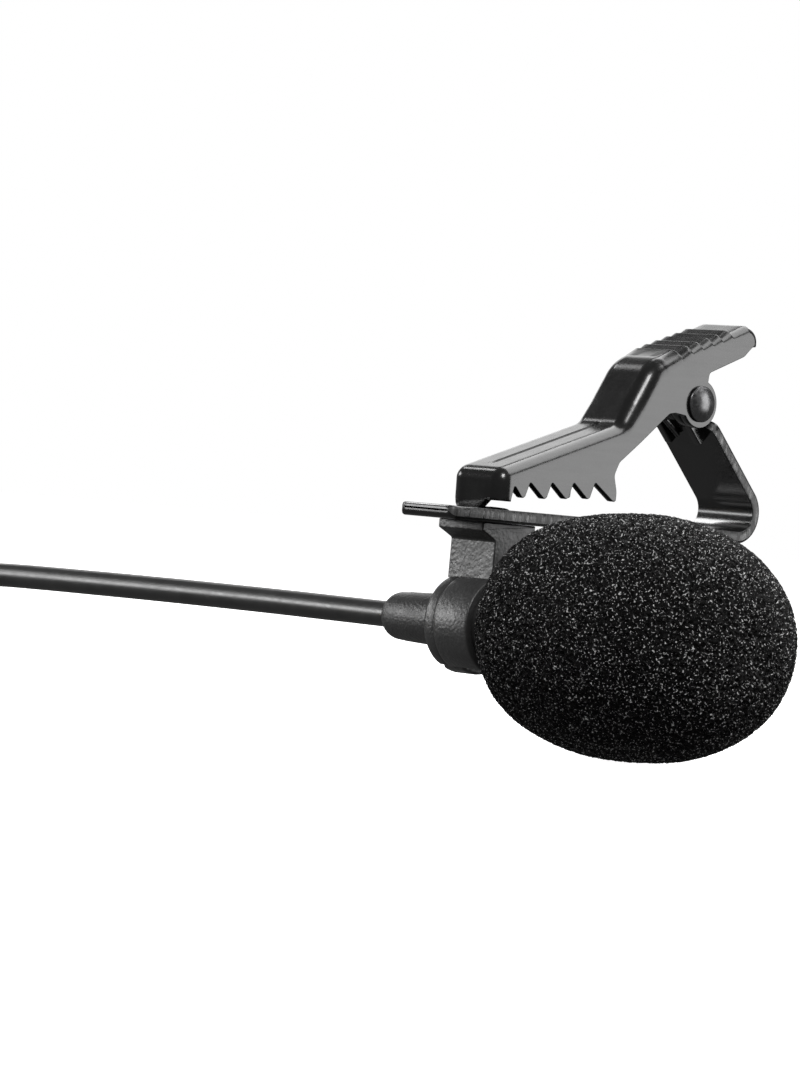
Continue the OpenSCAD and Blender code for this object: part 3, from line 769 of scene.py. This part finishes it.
def make_jaw():
    """A pressed channel. Its top follows path along the clip, its rounded edges turn down into two
    side walls, and a rim joins the outer skin to the inner one."""
    nose, edge_z, lip_z = -2.1, 10.62, 9.85
    path = rounded([(nose, 10.9, 0), (nose, 13.22, 1.3), (12.3, 18.1, 1.8), (15.9, 24.05, 6.5),
                    (18.7, 24.88, 6), (28.95, 28.5, 1.33), (28.95, 26.3, 0)],
                   closed=False, step=0.09)
    plain = path[:, 0] < 18.4  # the ridges behind this need closer rows
    path = np.vstack([[nose, edge_z], dense(path[plain], 0.16), dense(path[~plain], 0.05)])
    far = np.linalg.norm(path - path[-1], axis=1) > 0.24  # room for the rim at the end
    path = np.vstack([path[far], path[-1]])
    t = tangents(path)
    inner = np.column_stack([t[:, 1], -t[:, 0]])
    along = np.r_[0, np.cumsum(np.linalg.norm(np.diff(path, axis=0), axis=1))]
    height = ridge_heights(path)
    bend = np.interp(along, [0, 3.2, 17, 20, 25, 28.5, along[-1]],
                     [1.3, 1.15, 1.15, 1.5, 1.5, 0.75, 0.75])
    groove, groove_half = 0.42, 0.3
    flat_half = [0.11, 0.22, 0.3, 0.4, 0.55, 0.9, 1.38, 1.7]
    flat = [-x for x in flat_half[::-1]] + [0] + flat_half
    arc_steps = 6
    columns = [("left", k) for k in range(arc_steps + 1)] + [("flat", x) for x in flat]
    columns += [("right", arc_steps - k) for k in range(arc_steps + 1)]

    def section(i, thick):
        """Points of one cross-section and their outward normals, thick below the outer skin."""
        r = bend[i]
        out, normal = [], []
        y = path[i, 0]
        fade = min(1.0, max(0.0, (y + 0.6) / 0.8)) * min(1.0, max(0.0, (12.3 - y) / 0.5))
        if path[i, 1] >= 19:
            fade = 0.0
        for kind, v in columns:
            if kind == "flat":
                # The outer columns move in where the bends leave them less room
                room = min(1.0, (JAW_HALF - r - 0.05) / flat[-1]) if abs(v) > 0.6 else 1.0
                x, d, nx, nd = v * room, thick, 0.0, 1.0
                if thick == 0 and abs(v) < groove_half:
                    d += groove * fade * math.cos(abs(v) / groove_half * math.pi / 2)
            else:
                a = math.pi / 2 * v / arc_steps
                s = -1 if kind == "left" else 1
                x = s * ((JAW_HALF - r) + (r - thick) * math.cos(a))
                d = r - (r - thick) * math.sin(a)
                nx, nd = s * math.cos(a), math.sin(a)
            p = path[i] + inner[i] * (d - height[i] * nd * nd)
            out.append([x, p[0], p[1]])
            m = -inner[i] * nd
            normal.append([nx, m[0], m[1]])
        return np.array(out), np.array(normal)

    start = path[-1] + inner[-1] * bend[-1]
    finish = path[0] + inner[0] * bend[0]
    under = [(*start, 0)] + jaw_underside(edge_z) + [(*finish, 0)]
    wall = dense(rounded(under, closed=False), 0.25)[1:-1]

    rows = len(path)
    cols = len(columns)
    skins = []
    for thick in (0.0, JAW_T):
        pts, nrm = zip(*(section(i, thick) for i in range(rows)))
        pts, nrm = np.array(pts), np.array(nrm)
        for c in range(cols):  # the nose's edge, with a tongue off its middle
            x = pts[0, c, 0]
            lift = min(1.0, max(0.0, (x - 0.55) / 0.83, (-x - 2.25) / 0.5))
            pts[0, c, 2] = lip_z + (edge_z - lip_z) * lift
        skins.append((pts, nrm))

    def loop_of(skin, thick):
        pts, nrm = skin
        sides = []
        for s, c in ((-1, 0), (1, cols - 1)):
            x = s * (JAW_HALF - thick)
            sides.append((np.column_stack([np.full(len(wall), x), wall]),
                          np.tile([s, 0, 0], (len(wall), 1))))
        left, right = sides
        loop = [pts[-1, 0], *left[0], *pts[0], *right[0][::-1], *pts[-1, 1:][::-1]]
        normal = [nrm[-1, 0], *left[1], *nrm[0], *right[1][::-1], *nrm[-1, 1:][::-1]]
        return np.array(loop), np.array(normal, float)

    outer_loop, normal = loop_of(skins[0], 0.0)
    inner_loop, _ = loop_of(skins[1], JAW_T)
    tangent = tangents(outer_loop, True)
    edge = np.cross(tangent, normal)
    edge /= np.linalg.norm(edge, axis=1)[:, None]
    if edge[len(wall) + 5] @ np.array([0, 0, -1]) < 0:
        edge = -edge
    r = 0.1  # radius of the rim's two edges
    near = r * (1 - math.sin(math.pi / 4))
    into = inner_loop - outer_loop
    into /= np.linalg.norm(into, axis=1)[:, None]
    loops = [outer_loop - r * edge, outer_loop - near * edge + near * into, outer_loop + r * into,
             inner_loop - r * into, inner_loop - near * edge - near * into, inner_loop - r * edge]

    points = [*skins[0][0].reshape(-1, 3), *skins[1][0].reshape(-1, 3)]
    size = rows * cols
    n = len(outer_loop)

    def loop_index(skin):
        """Where the boundary loop's points are kept: on the grid, or added after it."""
        base = skin * size
        first = len(points)
        found = [base + (rows - 1) * cols]
        found += [first + k for k in range(len(wall))] + [base + c for c in range(cols)]
        found += [first + len(wall) + k for k in range(len(wall))]
        found += [base + (rows - 1) * cols + c for c in range(cols - 1, 0, -1)]
        return found

    index = []
    for skin, line in ((0, loops[0]), (1, loops[-1])):
        found = loop_index(skin)
        points += [None] * (2 * len(wall))
        for k, where in enumerate(found):
            points[where] = line[k]
        index.append(found)
    faces = []
    for skin in (0, 1):
        base = skin * size
        for i in range(rows - 1):
            for c in range(cols - 1):
                a = base + i * cols + c
                faces.append([a, a + 1, a + cols + 1, a + cols])
        found = index[skin]
        left = found[1:1 + len(wall)]
        at = 1 + len(wall) + cols
        right = found[at:at + len(wall)]
        faces.append([base + i * cols for i in range(rows)] + left)
        faces.append([base + i * cols + cols - 1 for i in range(rows)] + right[::-1])
    previous = index[0]
    for line in loops[1:-1]:
        first = len(points)
        points += list(line)
        now = list(range(first, first + n))
        faces += [[previous[k], previous[(k + 1) % n], now[(k + 1) % n], now[k]] for k in range(n)]
        previous = now
    faces += [[previous[k], previous[(k + 1) % n], index[1][(k + 1) % n], index[1][k]]
              for k in range(n)]
    shell = Shell()
    shell.add(points, faces)
    return shell.piece("jaw_plate", "jaw", "black_metal", "clip_jaw")


jaw = make_jaw()


# ---------------------------------------------------------------- lower strip
def make_strip():
    """A flat strip, a bend and a strap at 45 degrees with two ears for the pin."""
    half, roll, steps = 3.3, 0.28, 4
    z, tip, bend_r, strap = 8.75, -7.75, 2.7, 8.5
    bend_at = (30.8 - bend_r, z + bend_r)
    path = [(tip + d, z) for d in (0, 0.015, 0.045, 0.09, 0.15, 0.22, 0.3, 0.5, 0.75, 1.0)]
    path += [(tip + 1 + (bend_at[0] - tip - 1) * k / 60, z) for k in range(1, 60)]
    path += arc(bend_at, bend_r, -90, 45, 40)
    end = np.array(path[-1])
    up, outward = math.sqrt(0.5) * np.array([-1, 1]), math.sqrt(0.5) * np.array([1, 1])
    path += [tuple(end + up * strap * k / 24) for k in range(1, 23)]
    path += [tuple(end + up * d) for d in (strap - 0.4, strap - 0.2, strap - 0.08, strap)]
    path = np.array(path)
    tan = tangents(path)
    inside = np.column_stack([-tan[:, 1], tan[:, 0]])
    along = np.r_[0, np.cumsum(np.linalg.norm(np.diff(path, axis=0), axis=1))]

    rows = []
    for p, m, s in zip(path, inside, along):
        fine = float(np.interp(s, [0, 1.2, 2.6], [0.3, 0.26, 0.07]))  # bevel of the upper edge
        thick = float(np.interp(s, [0, 30, 40], [1.14, 1.14, 1.0]))
        w = half - corner_fall(s, 0.75) - corner_fall(along[-1] - s, 0.7)
        top, b = thick - corner_fall(s, 0.22), corner_fall(s, 0.5)
        turns = [math.pi / 2 * k / steps for k in range(steps, -1, -1)]
        side = [(w - roll + roll * math.cos(a), b + roll - roll * math.sin(a)) for a in turns]
        side += [(w, b + roll + (top - fine - roll - b) * 0.5), (w, top - fine),
                 (w - fine * 0.3, top - fine * 0.3), (w - fine, top)]
        section = side + [(-x, d) for x, d in side[::-1]]
        rows.append([(x, p[0] + m[0] * d, p[1] + m[1] * d) for x, d in section])
    shell = Shell()
    shell.loft(rows)
    cols = len(rows[0])
    cut = [steps, steps + 1, steps + 2]  # the sheared faces, then their mirror images
    cut += [cols - 2 - c for c in cut]
    for i in range(len(rows) - 1):
        for c in cut:
            shell.paint[i * cols + c] = 1

    def in_strap(a, b, r):
        return (*(np.array(bend_at) + outward * a + up * b), r)

    ear = [in_strap(0.7, 7.3, 0.2), in_strap(2.62, 7.3, 0.2), in_strap(2.62, 9.0, 0.4)]
    ear += [(*p, 0) for p in arc(PIN, 2.0, -2, 268, 40)]
    ear_x, ear_half = 1.75, 0.35
    for x in (-ear_x, ear_x):
        rounded_plate(shell, rounded(ear), x - ear_half, x + ear_half, 0.1)
    return shell.piece("clip_plate", "clip_base", "black_metal", "clip_strip",
                       materials=["black_metal", "sheared_edge"])


plate = make_strip()


# ---------------------------------------------------------------- holder, housing and strain relief
def make_holder():
    """An open ring, and on it a neck with a bevelled flange that the strip lies on."""
    rear, front, crease = -2.98, 2.4, -1.55
    ring, bore, gap = 4.24, 3.5, 2.0
    section = [(rear, bore + 0.04), (rear, 3.75), (rear + 0.03, 3.86), (rear + 0.2, 4.03),
               (rear + 0.5, 4.14), (crease - 0.1, 4.19), (crease, 4.155), (crease + 0.1, 4.2),
               (crease + 0.35, ring), (0, ring), (front - 0.16, ring), (front - 0.07, ring - 0.03),
               (front - 0.02, ring - 0.08), (front, ring - 0.16), (front, bore + 0.08),
               (front - 0.06, bore), (rear + 0.04, bore)]
    opening = math.degrees(math.asin(gap / ring))
    angles = np.radians(np.linspace(-90 + opening, 270 - opening, 120))
    rows = [[(x, r * math.cos(a), r * math.sin(a)) for x, r in section] for a in angles]
    shell = Shell()
    shell.loft(rows)
    neck = [(1.55, 3.75, 0), (1.55, 7.2, 0.25), (3.2, 8.0, 0.12), (3.2, 8.74, 0.08)]
    neck += [(-y, z, corner) for y, z, corner in neck[::-1]]
    rounded_plate(shell, rounded(neck, step=0.05), rear + 0.02, front - 0.02, 0.14)
    return shell.piece("holder_body", "clip_base", "black_plastic", "mic_holder", sharp=40)


def make_housing():
    """A tube, closed at the rear but for the cable's hole, and below it the key in the ring's gap."""
    r, rear, front, bore, hole, wall = 3.45, -2.4, 10.8, 3.1, 1.72, 0.8
    edge, rim = 0.22, 0.06
    shell = Shell()
    profile = [(rear, hole), (rear, r - 0.25)] + arc((rear + edge, r - edge), edge, 180, 90, 4)[1:]
    profile += [(front - rim, r), (front, r - rim), (front, bore), (rear + wall, bore),
                (rear + wall, hole)]
    shell.revolve(profile)
    key_r, key_half, key_top = 4.3, 1.82, -3.2
    face = [(key_r * math.sin(a), -key_r * math.cos(a), 0) for a in np.linspace(-0.432, 0.432, 9)]
    face[0], face[-1] = (*face[0][:2], 0.35), (*face[-1][:2], 0.35)
    key = [(-key_half, key_top, 0.1)] + face + [(key_half, key_top, 0.1)]
    rounded_plate(shell, rounded(key), rear + 0.08, 0.2, 0.28, steps=5)
    return shell.piece("housing_body", "mic", "black_plastic", "mic_housing", sharp=50)


def make_relief():
    shell = Shell()
    profile = [(-11.0, 0), (-11.0, 1.16)] + arc((-9.45, 0.53), 1.55, 158, 92, 12)
    profile += [(-9.2, 2.095), (-8.5, 2.15), (-6.4, 2.22), (-4.5, 2.29), (-2.46, 2.35),
                (-2.42, 2.31), (-2.42, 1.66), (-1.5, 1.66), (-1.5, 0)]
    shell.revolve(profile, sides=96)
    return shell.piece("relief_body", "mic", "cable_cover", "strain_relief",
                       materials=["relief_cover"], sharp=50)


plastics = [make_holder(), make_housing(), make_relief(), cable]


# ---------------------------------------------------------------- pin, rivet and spring
def make_pin():
    head, shank, face, rim = 1.6, 0.86, JAW_HALF + 0.02, 0.16
    edge, dome, crown = 0.1, 2.7, 0.52
    half = [(face, shank), (face, head - 0.08), (face + 0.03, head - 0.02),
            (face + 0.06, head), (face + rim, head)]
    half += arc((face + rim, head - edge), edge, 90, 35, 3)[1:]
    top = face + rim + crown
    half += [(top - dome + dome * math.cos(a), dome * math.sin(a)) for a in np.linspace(0.56, 0.03, 10)]
    half.append((top, 0))
    shell = Shell()
    shell.revolve([(-x, r) for x, r in half[::-1]] + half, (0, *PIN))
    shell.piece("pivot_rivet", "clip_base", "pin_steel", "pivot_pin", sharp=40, weighted=False)


def make_spring():
    """A coil round the pin, with one leg reaching the strap and the other the jaw."""
    wire, r, lead, start, turned = 0.25, 1.3, 0.6, -124.0, -1177.9
    half = -turned / 360 * lead / 2
    strap_end, jaw_end = (-half, 23.67, 17.9), (half, 24.9, 26.0)
    coil, steps = [], 150
    for k in range(steps + 1):
        a = math.radians(start + turned * k / steps)
        coil.append((half * (2 * k / steps - 1), PIN[0] + r * math.cos(a), PIN[1] + r * math.sin(a)))
    path = np.array([strap_end, *coil, jaw_end])
    cuts = 12
    first = [path[0] + (path[1] - path[0]) * k / cuts for k in range(cuts)]
    last = [path[-2] + (path[-1] - path[-2]) * k / cuts for k in range(1, cuts + 1)]
    path = np.array(first + list(path[1:-1]) + last)
    t = tangents(path)
    side = np.cross(t, [1, 0, 0])
    side /= np.linalg.norm(side, axis=1)[:, None]
    angles = [2 * math.pi * k / 10 for k in range(10)]
    shell = Shell()
    shell.loft([[p + wire * (a * math.cos(turn) + b * math.sin(turn)) for turn in angles]
                for p, a, b in zip(path, side, np.cross(side, t))])
    o = shell.piece("hinge_spring", None, "pin_steel", "torsion_spring", weighted=False)
    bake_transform(o)


def make_rivet():
    """Turned about X, then stood up. Its flat dome lies on the strip."""
    shell = Shell()
    shell.revolve([(8.6, 0), (8.6, 0.95), (9.76, 0.95), (9.76, 1.56), (9.82, 1.6), (9.9, 1.58),
                   (10.0, 1.4), (10.06, 1.1), (10.08, 0.6), (10.08, 0)])
    shell.points = [(-p[2], p[1], p[0]) for p in shell.points]
    shell.piece("holder_stud", "clip_base", "black_metal", "holder_rivet", weighted=False)


make_pin()
make_spring()
make_rivet()

# The pieces inside the foam and the housing keep their CAD shape
HIDDEN = {
    "front_grille": "black_plastic", "dust_cloth": "cloth", "capsule_felt": "cloth",
    "capsule_can": "bare_metal", "capsule_sleeve": "soft_rubber", "diaphragm_ring": "contact_metal",
    "diaphragm": "film", "spacer_ring": "insulating_plastic", "backplate": "contact_metal",
    "backplate_holder": "insulating_plastic", "capsule_board": "board",
    "board_transistor": "black_plastic", "solder_joints": "bare_metal", "lead_wires": "wire_cover",
}
for node, finish in HIDDEN.items():
    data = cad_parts[node].data
    data.materials.clear()
    data.materials.append(MATERIAL[finish])


# ---------------------------------------------------------------- floor, world and lights
def make_floor():
    mesh = bpy.data.meshes.new("floor")
    s, z = 3.0, -0.0004
    mesh.from_pydata([(-s, -s, z), (s, -s, z), (s, s, z), (-s, s, z)], [], [[0, 1, 2, 3]])
    o = linked("floor", mesh)
    m = bpy.data.materials.new("floor")
    m.use_nodes = True
    shader = m.node_tree.nodes["Principled BSDF"]
    shader.inputs["Base Color"].default_value = (0.8, 0.8, 0.8, 1)
    shader.inputs["Roughness"].default_value = 1.0
    shader.inputs["Specular IOR Level"].default_value = 0.0
    shader.inputs["Emission Color"].default_value = (1, 1, 1, 1)
    shader.inputs["Emission Strength"].default_value = 1.0
    mesh.materials.append(m)
    o.visible_glossy = False
    o.visible_diffuse = False


def make_world():
    world = bpy.data.worlds.new("world")
    bpy.context.scene.world = world
    world.use_nodes = True
    tree = world.node_tree
    tree.nodes.clear()
    out = tree.nodes.new("ShaderNodeOutputWorld")
    mix = tree.nodes.new("ShaderNodeMixShader")
    path = tree.nodes.new("ShaderNodeLightPath")
    tree.links.new(path.outputs["Is Camera Ray"], mix.inputs["Fac"])
    for strength, socket in ((1.0, 2), (0.16, 1)):  # as seen, and as it lights the object
        background = tree.nodes.new("ShaderNodeBackground")
        background.inputs["Color"].default_value = (1, 1, 1, 1)
        background.inputs["Strength"].default_value = strength
        tree.links.new(background.outputs[0], mix.inputs[socket])
    tree.links.new(mix.outputs[0], out.inputs["Surface"])


LIT_AT = Vector((-0.005, 0.0, 0.024))


def softbox(name, direction, distance, width, height, radiance, only=()):
    """A lamp of this radiance that faces LIT_AT. only: the pieces it lights, or all of them."""
    data = bpy.data.lights.new(name, "AREA")
    data.shape = "RECTANGLE"
    data.size, data.size_y = width, height
    data.energy = radiance * math.pi * width * height
    o = linked(name, data)
    d = Vector(direction).normalized()
    o.location = LIT_AT + d * distance
    o.rotation_mode = "QUATERNION"
    o.rotation_quaternion = d.to_track_quat("Z", "Y")
    o.visible_camera = False
    if only:
        lit = bpy.data.collections.new(name)
        for piece in only:
            lit.objects.link(piece)
        o.light_linking.receiver_collection = lit


make_floor()
make_world()
# Set by comparing the brightness of single places with the photograph's. Some light a few pieces only
softbox("left_back", (-0.715, 0.60, 0.34), 0.7, 0.46, 0.34, 1.5)
softbox("left_front", (-0.90, -0.33, 0.28), 0.7, 0.20, 0.14, 9.0)
softbox("key", (0.58, -0.50, 0.64), 0.7, 0.22, 0.28, 18.0)
all_but_plate = [o for o in bpy.context.scene.objects
                 if o.type in ("MESH", "CURVE") and o is not plate]
softbox("right_back", (0.66, 0.66, 0.16), 0.8, 0.5, 0.62, 3.9, only=all_but_plate)
softbox("edge_strip", (0.70, 0.70, -0.02), 0.8, 0.5, 0.24, 6.0, only=[plate])
softbox("overhead", (0.03, 0.50, 0.86), 0.7, 0.95, 0.34, 4.2)
softbox("plastic_strip", (-0.70, -0.68, 0.15), 0.7, 0.26, 0.20, 16.0, only=plastics)
softbox("strap_strip", (-0.716, -0.225, 0.662), 0.5, 0.20, 0.14, 17.0, only=[plate])
softbox("nose_spot", (-0.73, -0.02, 0.68), 0.7, 0.12, 0.07, 9.0, only=[jaw])
softbox("tip_strip", (-0.70, -0.69, 0.06), 0.7, 0.22, 0.12, 9.0, only=[plate])
bpy.context.scene.view_settings.view_transform = "Standard"
